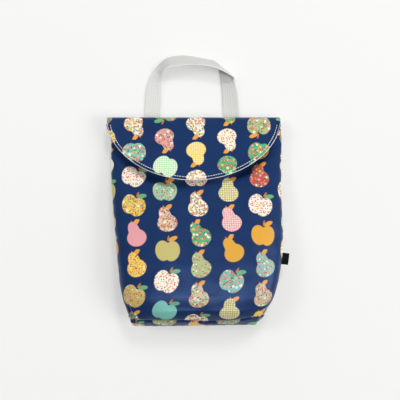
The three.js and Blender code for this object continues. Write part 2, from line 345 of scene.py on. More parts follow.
def soft_noise(a, b, height, length, seed, waves=12):
    """A sum of long sine waves in random directions, which its seed makes repeatable. It reaches
    about its height up and down."""
    rng = np.random.default_rng(seed)
    angle = rng.uniform(0, 2 * math.pi, waves)
    size = length * rng.uniform(0.7, 1.7, waves)
    phase = rng.uniform(0, 2 * math.pi, waves)
    total = 0
    for turned, long, start in zip(angle, size, phase):
        along = a * math.cos(turned) + b * math.sin(turned)
        total = total + np.sin(along * 2 * math.pi / long + start)
    return height * (total / math.sqrt(waves))


# Grids


def arc_length(points):
    """Distance run along a list of points, starting at 0."""
    steps = np.linalg.norm(np.diff(points, axis=0), axis=1)
    return np.concatenate([[0], np.cumsum(steps)])


def sample(places, arc, values):
    """Points or normals of a route, read off at places along its arc length."""
    return np.stack([np.interp(places, arc, column) for column in values.T], -1)


def panel_grid(surface, last, rows, columns):
    """Points evenly stepped up the middle line of a surface and evenly spaced across it. Gives them
    with their levels, their place on the flat cloth and their distance from the side seam."""
    levels = np.linspace(0, 1, 1201) ** 2 * last
    arc = arc_length(surface(levels, np.full(levels.shape, 0.5)))
    run = np.linspace(0, arc[-1], rows)
    levels = np.interp(run, arc, levels)
    turns = np.linspace(0, 1, 801)
    grid, across = [], []
    for level in levels:
        fine = surface(level, turns)
        arc = arc_length(fine)
        places = np.linspace(0, arc[-1], columns)
        grid.append(sample(places, arc, fine))
        across.append(places - np.interp(0.5, turns, arc))
    across = np.array(across)
    along = np.repeat(run[:, None], columns, axis=1)
    edge = np.abs(across[:, :1]) - np.abs(across)
    return np.array(grid), levels[:, None], across, along, edge


def unit(vectors):
    return vectors / np.maximum(np.linalg.norm(vectors, axis=-1, keepdims=True), 1e-9)


def grid_normals(grid):
    """Unit normals of a grid of points, from the cross product of its two directions."""
    return unit(np.cross(np.gradient(grid, axis=1), np.gradient(grid, axis=0)))


# Meshes


def link_object(name, data):
    made = bpy.data.objects.new(name, data)
    bpy.context.scene.collection.objects.link(made)
    return made


def make_mesh(name, points, faces, uv=None):
    """A mesh object from points in millimetres. uv holds a place on the flat cloth for each point."""
    mesh = bpy.data.meshes.new(name)
    mesh.from_pydata((np.asarray(points) * MM).tolist(), [], [list(face) for face in faces])
    if uv is not None:
        layer = mesh.uv_layers.new(name="cloth")
        index = np.empty(len(mesh.loops), dtype=np.int32)
        mesh.loops.foreach_get("vertex_index", index)
        layer.data.foreach_set("uv", np.asarray(uv, dtype=np.float32)[index].ravel())
    mesh.polygons.foreach_set("use_smooth", np.ones(len(mesh.polygons), dtype=bool))
    mesh.set_sharp_from_angle(angle=math.radians(50))
    return link_object(name, mesh)


def signed_volume(points, quads):
    """Sum over the faces of the volume between each one and the origin."""
    a, b, c, d = (points[quads[:, k]] for k in range(4))
    halves = np.einsum("ij,ij->i", a, np.cross(b, c)) + np.einsum("ij,ij->i", a, np.cross(c, d))
    return halves.sum()


def cloth_mesh(name, upper, lower, uv):
    """Two matching grids joined round their rims into one closed sheet that faces out."""
    rows, columns, _ = upper.shape
    index = np.arange(rows * columns).reshape(rows, columns)
    under = index + rows * columns
    top = np.stack([index[:-1, :-1], index[:-1, 1:], index[1:, 1:], index[1:, :-1]], -1)
    low = np.stack([under[:-1, :-1], under[1:, :-1], under[1:, 1:], under[:-1, 1:]], -1)
    quads = [top.reshape(-1, 4), low.reshape(-1, 4)]
    for line in (index[0], index[:, -1], index[-1, ::-1], index[::-1, 0]):
        below = line + rows * columns
        quads.append(np.stack([line[1:], line[:-1], below[:-1], below[1:]], -1))
    quads = np.concatenate(quads)
    points = np.concatenate([upper.reshape(-1, 3), lower.reshape(-1, 3)])
    if signed_volume(points, quads) < 0:
        quads = quads[:, ::-1]
    flat = np.asarray(uv).reshape(-1, 2)
    return make_mesh(name, points, quads.tolist(), np.concatenate([flat, flat]))


def ring_mesh(name, rings, uv):
    """Rings of points joined along their run into one tube with flat ends, facing out."""
    count, around, _ = rings.shape
    index = np.arange(count * around).reshape(count, around)
    beside = np.roll(index, -1, axis=1)
    quads = np.stack([index[:-1], beside[:-1], beside[1:], index[1:]], -1).reshape(-1, 4)
    points = rings.reshape(-1, 3)
    ends = [index[0, ::-1].tolist(), index[-1].tolist()]
    if signed_volume(points, quads) < 0:
        quads = quads[:, ::-1]
        ends = [end[::-1] for end in ends]
    return make_mesh(name, points, quads.tolist() + ends, np.asarray(uv).reshape(-1, 2))


def finish_piece(piece, finish, nodes, body=None):
    """Gives a piece its material, hides the solids that it stands for, and hangs it on the body that
    it rides on.
    """
    material, slot = finish
    piece.data.materials.append(material)
    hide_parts(*nodes)
    if body:
        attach(piece, body)


def blend_across(piece):
    """Bakes a piece's placement into its mesh."""
    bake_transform(piece)


def sew(name, route, normal, stitch, node, body):
    """A row of thread stitches along a route: each is an eight-sided capsule that swells from
    both ends, set off the cloth along its normal."""
    length, gap, thickness, sink = stitch
    arc = arc_length(route)
    count = max(1, int(arc[-1] // (length + gap)))
    pitch = arc[-1] / count
    run = np.linspace(0, 1, 9)
    places = (np.arange(count)[:, None] + 0.5) * pitch + (run - 0.5) * (pitch - gap)
    middle, up = (sample(places, arc, values) for values in (route, normal))
    side = unit(np.cross(unit(np.gradient(middle, axis=1)), up))
    swell = np.sqrt(np.clip(1 - (2 * run - 1) ** 4, 0.04, 1))
    middle = middle + up * (thickness * (swell - 0.5 - sink))[None, :, None]
    turn = np.linspace(0, 2 * math.pi, 8, endpoint=False)[None, None, :, None]
    ring = np.cos(turn) * side[:, :, None] + np.sin(turn) * up[:, :, None]
    points = middle[:, :, None] + thickness / 2 * swell[None, :, None, None] * ring
    index = np.arange(points[..., 0].size).reshape(points.shape[:3])
    beside = np.roll(index, -1, axis=2)
    sides = np.stack([index[:, :-1], index[:, 1:], beside[:, 1:], beside[:, :-1]], -1)
    faces = sides.reshape(-1, 4).tolist() + index[:, 0].tolist() + index[:, -1, ::-1].tolist()
    finish_piece(make_mesh(name, points.reshape(-1, 3), faces), THREAD, [node], body)


# Materials


def colour(code):
    """A hex sRGB colour as linear RGBA."""
    parts = [int(code[k : k + 2], 16) / 255 for k in (1, 3, 5)]
    linear = [p / 12.92 if p <= 0.04045 else ((p + 0.055) / 1.055) ** 2.4 for p in parts]
    return (*linear, 1.0)


def add_node(tree, kind, *inputs, **settings):
    """Adds a shader node with its settings. Its inputs are given in their order, or as one dict
    by name or number. Each takes a value or a link, and a node links from its first live output.
    A Map Range's inputs are its value, its range and the range that it is turned to, and a Mix's
    are the share at 0, two values at 2 and 3, and two colours at 6 and 7."""
    made = tree.nodes.new("ShaderNode" + kind)
    for name, value in settings.items():
        setattr(made, name, value)
    if not inputs or not isinstance(inputs[0], dict):
        inputs = [dict(enumerate(inputs))]
    for socket, value in inputs[0].items():
        if isinstance(value, bpy.types.Node):
            value = next(output for output in value.outputs if output.enabled)
        if isinstance(value, bpy.types.NodeSocket):
            tree.links.new(value, made.inputs[socket])
        else:
            made.inputs[socket].default_value = value
    return made


def empty_tree(owner):
    """The function that adds nodes to a material or world, once its own nodes are cleared."""
    owner.use_nodes = True
    owner.node_tree.nodes.clear()
    return partial(add_node, owner.node_tree)


def make_material(name, finish, **sizes):
    """A material whose one shader gets what its finish works out from the place on the cloth."""
    material = bpy.data.materials.new(name)
    add = empty_tree(material)
    shader = add("BsdfPrincipled", finish(add, add("UVMap", uv_map="cloth"), **sizes))
    add("OutputMaterial", {"Surface": shader})
    return material


def weave_height(add, place, spacing):
    """Crossed sine waves, one thread spacing long each way, as the threads of a plain weave."""
    parts = add("SeparateXYZ", place).outputs
    waves = []
    for axis in ("X", "Y"):
        turned = add("Math", parts[axis], 2 * math.pi / spacing, operation="MULTIPLY")
        waves.append(add("Math", turned, operation="SINE"))
    return add("Math", *waves, operation="MULTIPLY")


# Print: the repeat of the fruits, and their shapes as middle, radii and turn in degrees
MOTIF_ACROSS = 37.0
MOTIF_ALONG = 35.0
MOTIF_SIZE = 0.92
MOTIF_TILT = 0.55
MOTIF_SEED = 7.0
PEAR_LOW = ((0, -4.8), (12.6, 10.8))
PEAR_TOP = ((0, 6.6), (7.2, 9.2))
APPLE_CHEEK = ((5.6, -1.6), (9.6, 12.6), -9)
FLESH = ((0, -3.5), (8.0, 7.4))
PIP = ((1.9, -3.2), (0.9, 2.1), -14)
FRUIT_LEAF = ((6.4, 13.8), (6.0, 2.7), 28)
STALK = ((0.6, 14.0), (1.1, 3.6), -10)
PEAR_BLEND = 0.35
APPLE_BLEND = 0.12

# The stretch of chances that gets each filling or colour
CUT_OPEN = (-1.0, 0.11)
DOTTED = (0.24, 0.34)
FLOWERED = (0.34, 0.74)
SPRIGGED = (0.74, 2.0)
APPLES = (0.5, 2.0)
GREEN_LEAVES = (0.6, 2.0)

# Small motifs: pitch and radius of flowers and sprigs, radii of a leaflet, and shares of a radius
FLOWER = (4.6, 2.1)
SPRIG = (2.6, 1.1)
PETALS = 5.0
NOTCH_SHARE = 0.62
HEART_SHARE = 0.3
FLOWER_SIZES = (0.65, 1.1)
FLOWER_START = 6.0
LEAFLET_PITCH = 3.4
LEAFLET = (1.5, 0.7)
CELL_SCATTER = 0.85
DOT_PITCH = 2.6
DOT_SHARE = 1 / 3.8
DOT_SCATTER = 0.2
BODY_COLOURS = [
    "#f6efdd", "#f5d35c", "#8fd0ab", "#cfc7a6", "#e9a3a6", "#f4ead2", "#54b67e", "#c9bd72",
    "#bfe3b4", "#c9524c", "#a9c98a", "#7fc2b4", "#f3f0d9", "#e3a93a", "#6f9a7c", "#f0c9b4",
]
PETAL_COLOURS = ["#cf3f3c", "#e58d8f", "#f7f1e2", "#d8574c", "#e9b23f", "#e58d8f", "#c8413f"]
LEAF_COLOURS = ["#4f8a63", "#7fae78", "#3f6f63", "#93b77a"]


def ellipse(add, local, middle, radii, turn=0, side=1):
    """Distance from an ellipse's middle in its own radii: 1 on its outline, less inside. Side -1
    mirrors it to the left."""
    placing = {
        "Vector": local,
        "Location": (side * middle[0], middle[1], 0),
        "Rotation": (0, 0, math.radians(side * turn)),
        "Scale": (*radii, 1),
    }
    placed = add("Mapping", placing, vector_type="TEXTURE")
    return add("VectorMath", placed, operation="LENGTH")


def inside(add, distance, softness):
    """1 inside an outline and 0 outside, with a printed edge a little soft."""
    return add("MapRange", distance, 1 + softness, 1 - softness)


def chosen(add, chance, stretch):
    """1 where a chance lies in a stretch, and 0 elsewhere."""
    above = add("Math", chance, stretch[0], operation="GREATER_THAN")
    below = add("Math", chance, stretch[1], operation="LESS_THAN")
    return add("Math", above, below, operation="MULTIPLY")


def from_palette(add, chance, codes):
    """A chance turned to one of a few colours, by a ramp with equal flat bands."""
    palette = add("ValToRGB", chance)
    palette.color_ramp.interpolation = "CONSTANT"
    stops = palette.color_ramp.elements
    while len(stops) < len(codes):
        stops.new(len(stops) / len(codes))
    for k, code in enumerate(codes):
        stops[k].position = k / len(codes)
        stops[k].color = colour(code)
    return palette


def print_over(add, ground, *layers):
    """Prints one colour after another on a ground, each where all of its masks are 1."""
    for *masks, over in layers:
        mask = masks[0]
        for other in masks[1:]:
            mask = add("Math", mask, other, operation="MULTIPLY")
        ground = add("Mix", {0: mask, 6: ground, 7: over}, data_type="RGBA")
    return ground


def sprig_cells(add, place, pitch):
    """One small motif a cell: its place from the cell's middle, and three chances of its own."""
    scatter = {"Vector": place, "Scale": 1 / pitch, "Randomness": CELL_SCATTER}
    cells = add("TexVoronoi", scatter, voronoi_dimensions="2D").outputs
    local = add("VectorMath", place, cells["Position"], operation="SUBTRACT")
    return local, add("SeparateColor", cells["Color"]).outputs


def flowers(add, place, pitch, radius):
    """Five round petals: the outline's radius swells and narrows five times in a turn. Gives the
    masks of petals and heart, and the petals' colour."""
    local, chances = sprig_cells(add, place, pitch)
    parts = add("SeparateXYZ", local).outputs
    angle = add("Math", parts["Y"], parts["X"], operation="ARCTAN2")
    start = add("Math", chances[0], FLOWER_START, operation="MULTIPLY")
    turned = add("Math", angle, PETALS, start, operation="MULTIPLY_ADD")
    ray = add("Math", turned, operation="COSINE")
    outline = add("MapRange", ray, -1, 1, NOTCH_SHARE * radius, radius)
    size = add("MapRange", chances[1], 0, 1, *FLOWER_SIZES)
    length = add("VectorMath", local, operation="LENGTH")
    length = add("Math", length, size, operation="DIVIDE")
    petal = add("Math", length, outline, operation="DIVIDE")
    heart = add("Math", length, HEART_SHARE * radius, operation="DIVIDE")
    tint = from_palette(add, chances[2], PETAL_COLOURS)
    return inside(add, petal, 0.12), inside(add, heart, 0.2), tint


def leaflets(add, place):
    """Small ellipses, each turned its own way: their mask and colour."""
    local, chances = sprig_cells(add, place, LEAFLET_PITCH)
    angle = add("Math", chances[0], 2 * math.pi, operation="MULTIPLY")
    turned = add("VectorRotate", {"Vector": local, "Angle": angle}, rotation_type="Z_AXIS")
    mask = inside(add, ellipse(add, turned, (0, 0), LEAFLET), 0.15)
    return mask, from_palette(add, chances[1], LEAF_COLOURS)


def fruit_cell(add, place):
    """Half-drop columns: the place from each fruit's middle, turned by its tilt, with one chance
    and three more of its own."""
    parts = add("SeparateXYZ", place).outputs
    across = add("Math", parts["X"], MOTIF_ACROSS, operation="DIVIDE")
    column = add("Math", across, operation="ROUND")
    odd = add("Math", column, 2, operation="FLOORED_MODULO")
    along = add("Math", parts["Y"], MOTIF_ALONG, operation="DIVIDE")
    dropped = add("Math", odd, -0.5, along, operation="MULTIPLY_ADD")
    row = add("Math", dropped, operation="ROUND")
    cell = add("CombineXYZ", column, row, MOTIF_SEED)
    point = add("CombineXYZ", across, dropped, MOTIF_SEED)
    rest = add("VectorMath", point, cell, operation="SUBTRACT")
    scale = (MOTIF_ACROSS / MOTIF_SIZE, MOTIF_ALONG / MOTIF_SIZE, 1)
    local = add("VectorMath", rest, scale, operation="MULTIPLY")
    chance = add("TexWhiteNoise", {"Vector": cell}, noise_dimensions="3D").outputs
    tilt = add("MapRange", chance["Value"], 0, 1, -MOTIF_TILT, MOTIF_TILT)
    turned = add("VectorRotate", {"Vector": local, "Angle": tilt}, rotation_type="Z_AXIS")
    return turned, chance["Value"], add("SeparateColor", chance["Color"]).outputs


def fruit_filling(add, place, local, chances):
    """Plain, flowered, sprigged or dotted colour, and a few fruits cut open to a heart with pips."""
    stretches = (FLOWERED, SPRIGGED, DOTTED, CUT_OPEN)
    flowered, sprigged, dotted, cut_open = (chosen(add, chances[2], each) for each in stretches)
    leaflet, leaflet_colour = leaflets(add, place)
    petal, heart, petal_colour = flowers(add, place, *FLOWER)
    sprig, _, sprig_colour = flowers(add, place, *SPRIG)
    spread = {"Vector": place, "Scale": 1 / DOT_PITCH, "Randomness": DOT_SCATTER}
    dots = add("TexVoronoi", spread, voronoi_dimensions="2D")
    dot = add("Math", dots, DOT_SHARE, operation="DIVIDE")
    pips = [inside(add, ellipse(add, local, *PIP, side), 0.15) for side in (-1, 1)]
    return print_over(
        add,
        from_palette(add, chances[1], BODY_COLOURS),
        (leaflet, flowered, leaflet_colour),
        (petal, flowered, petal_colour),
        (heart, flowered, colour("#f6dc8a")),
        (sprig, sprigged, sprig_colour),
        (inside(add, dot, 0.2), dotted, colour("#faf6e6")),
        (inside(add, ellipse(add, local, *FLESH), 0.06), cut_open, colour("#f8f3df")),
        *((pip, cut_open, colour("#8a5a32")) for pip in pips),
    )


def fruit_print(add, place):
    """Pears and apples on navy. A pear is a wide lower round run into a narrow upper one, and an
    apple is two round cheeks side by side."""
    local, luck, chances = fruit_cell(add, place)
    rounds = [ellipse(add, local, *shape) for shape in (PEAR_LOW, PEAR_TOP)]
    pear = add("Math", *rounds, PEAR_BLEND, operation="SMOOTH_MIN")
    cheeks = [ellipse(add, local, *APPLE_CHEEK, side) for side in (-1, 1)]
    apple = add("Math", *cheeks, APPLE_BLEND, operation="SMOOTH_MIN")
    fruit = add("Mix", {0: chosen(add, chances[0], APPLES), 2: pear, 3: apple})
    # The navy clouds over about 33 mm
    clouds = {"Vector": place, "Scale": 1 / 33.333, "Detail": 2.0}
    cloud = add("TexNoise", clouds, noise_dimensions="2D")
    green = chosen(add, luck, GREEN_LEAVES)
    leaf_colour = print_over(add, colour("#eba43c"), (green, colour("#6fae76")))
    return print_over(
        add,
        colour("#132c57"),
        (cloud, colour("#193561")),
        (inside(add, ellipse(add, local, *FRUIT_LEAF), 0.1), leaf_colour),
        (inside(add, ellipse(add, local, *STALK), 0.15), colour("#c97b2c")),
        (inside(add, fruit, 0.035), fruit_filling(add, place, local, chances)),
    )


def printed_cotton(add, place):
    """Cotton with a clear laminate: the print shows through a smooth skin with a soft satin sheen."""
    # Threads about 0.35 mm apart are drawn at 0.9 mm so that they show, ripples are 11 mm long
    threads = weave_height(add, place, 0.9)
    weave = add("Bump", {"Height": threads, "Strength": 0.08, "Distance": 0.0001})
    waves = {"Vector": place, "Scale": 1 / 11.111, "Detail": 3.0}
    ripple = add("TexNoise", waves, noise_dimensions="2D")
    skin = {"Height": ripple, "Strength": 0.25, "Distance": 0.001, "Normal": weave}
    return {
        "Base Color": fruit_print(add, place),
        "Roughness": add("MapRange", ripple, 0, 1, 0.32, 0.42),
        "IOR": 1.45,
        "Specular Tint": colour("#a8c0ff"),
        "Normal": add("Bump", skin),
    }


def waterproof_lining(add, place):
    """Coated polyester: pale, smooth and slightly shiny, with fine creases."""
    # Threads about 0.3 mm apart are drawn at 0.7 mm so that they show, creases are 8 mm long
    threads = weave_height(add, place, 0.7)
    weave = add("Bump", {"Height": threads, "Strength": 0.15, "Distance": 0.0001})
    creasing = {"Vector": place, "Scale": 1 / 8.3333, "Detail": 5.0}
    crease = add("TexNoise", creasing, noise_dimensions="2D")
    fold = {"Height": crease, "Strength": 0.5, "Distance": 0.001, "Normal": weave}
    return {
        "Base Color": print_over(add, colour("#e4e2db"), (crease, colour("#f5f4ef"))),
        "Roughness": 0.42,
        "Normal": add("Bump", fold),
    }


def cotton_webbing(add, place):
    """Off-white cotton webbing: lengthwise ribs with painted shade in their grooves, a fine twill, dry
    and matte.
    """
    parts = add("SeparateXYZ", place).outputs
    # Fibres are drawn 1.25 mm long so that they show
    fibres = {"Vector": place, "Scale": 1 / 1.25, "Detail": 6.0}
    fibre = add("TexNoise", fibres, noise_dimensions="2D")
    ribs = 2 * math.pi * RIBS / WEBBING_WIDTH
    across = add("Math", parts["X"], ribs, operation="MULTIPLY")
    rib = add("Math", across, operation="COSINE")
    # Painted shade: the grooves between the ribs are tinted darker
    groove = add("MapRange", rib, -1.0, 0.4, 0.14, 0.0)
    # Painted shade: the bow is greyed where the tilted band turns from the light, the right leg less,
    # and the inner selvedge is left out of it so that it reads as a lit edge
    band_shade = add("MapRange", parts["Y"], *BAND_SHADE_RAMP)
    less = add("MapRange", parts["Y"], *RIGHT_LEG_SHADE_RAMP, 1.0, RIGHT_LEG_SHADE)
    away = add("MapRange", parts["X"], *UNSHADED_SELVEDGE_RAMP, 1.0, 0.0)
    tint = print_over(
        add,
        colour("#dadad6"),
        (fibre, colour("#ebebe8")),
        (groove, colour("#a9aaa8")),
        (band_shade, less, away, colour("#c6c6c3")),
    )
    # The twill's lines are 1.7453 mm apart
    lines = add("Math", parts["Y"], 2 * math.pi / 1.7453, operation="MULTIPLY")
    twill = add("Math", lines, operation="SINE")
    picks = add("Bump", {"Height": twill, "Strength": 0.35, "Distance": 0.0002})
    fluff = {"Height": fibre, "Strength": 0.4, "Distance": 0.0004, "Normal": picks}
    return {
        "Base Color": tint,
        "Roughness": 0.9,
        "Sheen Weight": 0.2,
        "Sheen Roughness": 0.5,
        "Normal": add("Bump", fluff),
    }


def sewing_thread(add, place):
    """Twisted polyester thread: bright white with a faint gloss. Its twist follows the piece's own
    axes, as a thread has no place on the flat cloth."""
    # The twist turns once in 1.496 mm. The texture has 10 radians to a unit, here a metre
    scale = 2 * math.pi / 10 / (1.496 * MM)
    twist = {"Vector": add("TexCoord").outputs["Object"], "Scale": scale, "Distortion": 1.0}
    twist = add("TexWave", twist, bands_direction="DIAGONAL").outputs["Fac"]
    return {
        "Base Color": print_over(add, colour("#e8e6e1"), (twist, colour("#fdfcf9"))),
        "Roughness": 0.55,
        "Normal": add("Bump", {"Height": twist, "Strength": 0.4, "Distance": 0.0001}),
    }


def fastening_tape(add, place, grain, strength):
    """Hook or loop tape: a dense nap of short nylon, drawn with the grain of its tufts."""
    tufts = add("TexVoronoi", {"Vector": place, "Scale": 1 / grain}, voronoi_dimensions="2D")
    nap = {"Height": tufts, "Strength": strength, "Distance": 0.0006}
    return {
        "Base Color": print_over(add, colour("#f0f0ee"), (tufts, colour("#c9c9c6"))),
        "Roughness": 0.95,
        "Normal": add("Bump", nap, invert=True),
    }


def woven_label(add, place):
    """Black damask ribbon with a fine cross rib, left bare."""
    threads = weave_height(add, place, 0.5)
    return {
        "Base Color": print_over(add, colour("#0a0a0c"), (threads, colour("#050506"))),
        "Roughness": 0.75,
        "Specular IOR Level": 0.15,
        "Normal": add("Bump", {"Height": threads, "Strength": 0.5, "Distance": 0.0001}),
    }


# Each finish is a material with the slot that it fills
PRINT = (make_material("laminated_printed_cotton", printed_cotton), "printed_cotton")
LINING = (make_material("coated_polyester_lining", waterproof_lining), "lining")
WEBBING = (make_material("ribbed_cotton_webbing", cotton_webbing), "webbing")
THREAD = (make_material("white_polyester_thread", sewing_thread), "thread")
LOOPS = (make_material("loop_tape_nap", fastening_tape, grain=0.9, strength=0.9), "fastening_tape")
HOOKS = (make_material("hook_tape_nap", fastening_tape, grain=1.5, strength=0.7), "fastening_tape")
LABEL = (make_material("black_woven_ribbon", woven_label), "label_ribbon")


# Flap


def flap_height(x, y, above):
    """Level with the fold's top at the crease, then lying over the front."""
    level = y + ORIGIN_LEVEL
    draped = front_height(x, level, EDGE_SHARE) + FLAP_CLEARANCE
    folded = FOLD_HEIGHT + FOLD_RADIUS - DOUBLED_CLOTH
    return mix(folded, draped, ramp(level, FOLD_LEVEL, FOLD_LEVEL - FLAP_RAMP)) + above


def flap_edge(share, inset):
    """The flap's rounded edge in plan, a superellipse from the left corner round to the right."""
    first = math.asin(((FOLD_RADIUS + FLAP_CORNER) / FLAP_DROP) ** (FLAP_POWER / 2))
    angle = mix(first, math.pi - first, share)
    power = 2 / FLAP_POWER
    cosine = -np.cos(angle)
    reach = np.sign(cosine) * np.abs(cosine) ** power * (half_width(FOLD_LEVEL) - inset)
    return centre(POUCH_LENGTH) + reach, RIM_Y - (FLAP_DROP - inset) * np.sin(angle) ** power


def flap_fall(x, y):
    """How far down the flap a place lies, 0 at the crease and 1 at the edge below it."""
    share = np.clip(np.abs(x - centre(POUCH_LENGTH)) / half_width(FOLD_LEVEL), 0, 1)
    edge_y = RIM_Y - FLAP_DROP * (1 - share**FLAP_POWER) ** (1 / FLAP_POWER)
    return np.clip((FLAP_START_Y - y) / np.maximum(FLAP_START_Y - edge_y, 1.0), 0, 1)


def flap_swell(x, y):
    """The free edge stands off the front, most on the left, and the cloth waves gently."""
    fall = flap_fall(x, y)
    stand = FLAP_LIFT + bump(x, *LEFT_LIFT) + bump(x, *RIGHT_LIFT)
    return fall**FLAP_LIFT_POWER * stand + ramp(fall, *FLAP_WAVE_RAMP) * soft_noise(x, y, *FLAP_WAVES)


def flap_top(x, y):
    return flap_height(x, y, DOUBLED_CLOTH) + flap_swell(x, y)


def flap_grid(above):
    """Columns run straight down from the crease to the rounded edge."""
    down, across = (np.linspace(0, 1, count) for count in FLAP_GRID)
    x, edge_y = flap_edge(across, 0.0)
    y = mix(FLAP_START_Y, edge_y[None], down[:, None])
    return join(x, y, flap_height(x, y, above) + flap_swell(x, y))


def make_flap(back_run):
    """The flap's print runs on from the back, over the half turn of the fold."""
    outer = flap_grid(DOUBLED_CLOTH)
    normal = grid_normals(outer)
    normal *= np.sign(normal[..., 2:3])
    run = back_run + FOLD_RADIUS * math.pi + (FOLD_Y - outer[..., 1]) * FLAP_SLACK
    uv = join(-outer[..., 0], run)
    cloth = cloth_mesh("flap_cloth", outer, outer - normal * OUTER_CLOTH, uv)
    finish_piece(cloth, PRINT, ["flap_outer"], "flap")
    inner = flap_grid(DOUBLED_CLOTH - LINING_INSET)
    lining = cloth_mesh("flap_lining_cloth", inner, inner - normal * LINING_CLOTH, uv)
    finish_piece(lining, LINING, ["flap_lining"], "flap")


def make_flap_roll():
    """The lining turned out at the flap's edge: a circle carried along the edge curve."""
    x, y = flap_edge(np.linspace(0, 1, 700), -ROLL_OUTSET)
    middle = join(x, y, flap_top(x, y) - ROLL_DROP)
    forward = unit(np.gradient(middle, axis=0))
    side = unit(np.cross(forward, [0.0, 0.0, 1.0]))
    turn = np.linspace(0, 2 * math.pi, 10, endpoint=False)[None, :, None]
    circle = np.cos(turn) * side[:, None] + np.sin(turn) * np.cross(side, forward)[:, None]
    rings = middle[:, None] + ROLL_RADIUS * circle
    uv = join(turn[0, :, 0] * ROLL_RADIUS, arc_length(middle)[:, None])
    finish_piece(ring_mesh("flap_lining_roll", rings, uv), LINING, ["flap_lining"], "flap")


# Front and back


def seam_relief(edge, along, groove):
    """Cloth drawn in along a seam: a groove at the seam and short puckers that fade from it."""
    drift = PUCKER_DRIFT * np.sin(along / PUCKER_DRIFT_LENGTH)
    wave = np.sin(along * 2 * math.pi / PUCKER_PITCH + drift)
    puckers = PUCKER * wave * (np.exp(-edge / PUCKER_FADE) - np.exp(-edge / PUCKER_RISE))
    return puckers - bump(edge, groove, 0, GROOVE_WIDTH)


def sewn_flat(grid):
    """0 where the sewn tape and the mouth's hem hold the cloth even, 1 away from them."""
    low, high = node_box("loop_patch")
    beyond = np.maximum(np.maximum(low - grid, grid - high), 0)
    from_tape = np.hypot(beyond[..., 0], beyond[..., 1]) - TAPE_MARGIN
    from_hem = MOUTH_LEVEL - ORIGIN_LEVEL - grid[..., 1] - HEM_MARGIN
    return ramp(from_tape, 0, CALM_REACH) * ramp(from_hem, 0, CALM_REACH)


def filled_relief(across, along, edge, free):
    """Soft undulation of a filled cloth front, with its side and bottom seams drawn in."""
    calm = ramp(edge, 0, CALM_REACH) * ramp(along, 0, CALM_REACH) * free
    waves = soft_noise(across, along, *FRONT_WAVES) + soft_noise(across, along, *FRONT_RIPPLES)
    seams = seam_relief(edge, along, SEAM_GROOVE) + seam_relief(along, across, SEAM_GROOVE)
    return waves * calm + seams + FULLNESS


def corner_creases(x, y):
    """The boxed corners: the front's edge lies as a rib beside a sunk line down to the seam."""
    relief = 0
    fade = ramp(y, *CREASE_TOP_RAMP) * ramp(y, *CREASE_END_RAMP)
    for start, end, sunk in CORNER_CREASES:
        run = np.subtract(end, start)
        offset = join(x, y) - start
        share = np.clip((offset @ run) / (run @ run), 0, 1)
        apart = np.linalg.norm(offset - share[..., None] * run, axis=-1)
        rib = (np.abs(x) < abs(start[0])) * bump(apart, *CREASE_RIB)
        relief = relief + sunk * fade * (rib - bump(apart, *CREASE_GROOVE))
    return relief


def flap_hollow(x, y):
    """The front sinks under the flap's edge, deep on the left and less on the right."""
    edge_x, edge_y = flap_edge(np.linspace(0, 1, 120), 0.0)
    squared = (x[..., None] - edge_x) ** 2 + (y[..., None] - edge_y) ** 2
    under = bump(np.sqrt(squared.min(axis=-1)), *FLAP_HOLLOW)
    return under * (bump(x, *LEFT_HOLLOW) + bump(x, *RIGHT_HOLLOW))


def strip_level(x):
    """Level of the seam along the top of the bottom strip; it climbs to the right corner."""
    return STRIP_LEVEL - bump(x, *STRIP_DIP) + STRIP_CLIMB * ramp(x, *STRIP_CLIMB_RAMP)


def make_panel(side, outer, normal, uv, lining_to_end=False):
    """Printed cloth, and behind it a lining on every second row and column of the same grid."""
    cloth = cloth_mesh(f"{side}_cloth", outer, outer - normal * OUTER_CLOTH, uv)
    finish_piece(cloth, PRINT, [f"{side}_panel"], "bag")
    under = outer - normal * LINING_INSET
    face, normal, uv = (part[::2, ::2] for part in (under, normal, uv))
    if lining_to_end:
        face[-1] = under[-1, ::2]
    lining = cloth_mesh(f"{side}_lining_cloth", face, face - normal * LINING_CLOTH, uv)
    finish_piece(lining, LINING, [f"{side}_lining"], "bag")


def make_front():
    """The front's surface moved along its normals by all of its relief. Its print is cut at the
    strip's seam."""
    grid, levels, across, along, edge = panel_grid(front_point, MOUTH_LEVEL, *FRONT_GRID)
    x, y = grid[..., 0], grid[..., 1]
    above_strip = levels - strip_level(x)
    groove = bump(above_strip, *STRIP_GROOVE) * ramp(edge, 0, STRIP_CORNER_FADE)
    free = sewn_flat(grid)
    relief = filled_relief(across, along, edge, free) + corner_creases(x, y)
    relief = relief - flap_hollow(x, y) * free - groove
    outer = grid + grid_normals(grid) * relief[..., None]
    printed = along + FRONT_PRINT_SHIFT - STRIP_PRINT_SHIFT * (above_strip < 0)
    make_panel("front", outer, grid_normals(outer), join(across, printed), lining_to_end=True)


def make_back():
    """The back, drawn in along its seams but not near the fold, and nowhere under the table. Gives
    how far its cloth runs up to the fold."""
    grid, _, across, along, edge = panel_grid(back_point, FOLD_LEVEL, *BACK_GRID)
    length = along[-1, 0]
    seams = seam_relief(edge, along, SEAM_GROOVE) + seam_relief(along, across, BACK_BOTTOM_GROOVE)
    relief = seams * ramp(length - along, *BACK_FREE_RAMP)
    outer = grid - grid_normals(grid) * relief[..., None]
    outer[..., 2] = np.maximum(outer[..., 2], 0.0)
    make_panel("back", outer, -grid_normals(outer), join(-across, along))
    return length


# Fold

# Each ply: its finish, the solid it stands for, its inset from the outer face and its thickness
PLIES = {
    "cloth": (PRINT, "fold_outer", 0.0, OUTER_CLOTH),
    "lining": (LINING, "fold_lining", LINING_INSET, LINING_CLOTH),
}


def fold_point(degrees, across, inset):
    """A ring of cloth round the fold's middle line, from the back at -90 degrees to the flap at 90."""
    angle = np.radians(degrees)
    middle = mix(centre(FOLD_LEVEL), centre(POUCH_LENGTH), ramp(degrees, -90, 0))
    x = middle + half_width(FOLD_LEVEL) * across
    radius = FOLD_RADIUS - inset
    y, z = FOLD_Y + radius * np.cos(angle), FOLD_HEIGHT + radius * np.sin(angle)
    return join(x, y, z)


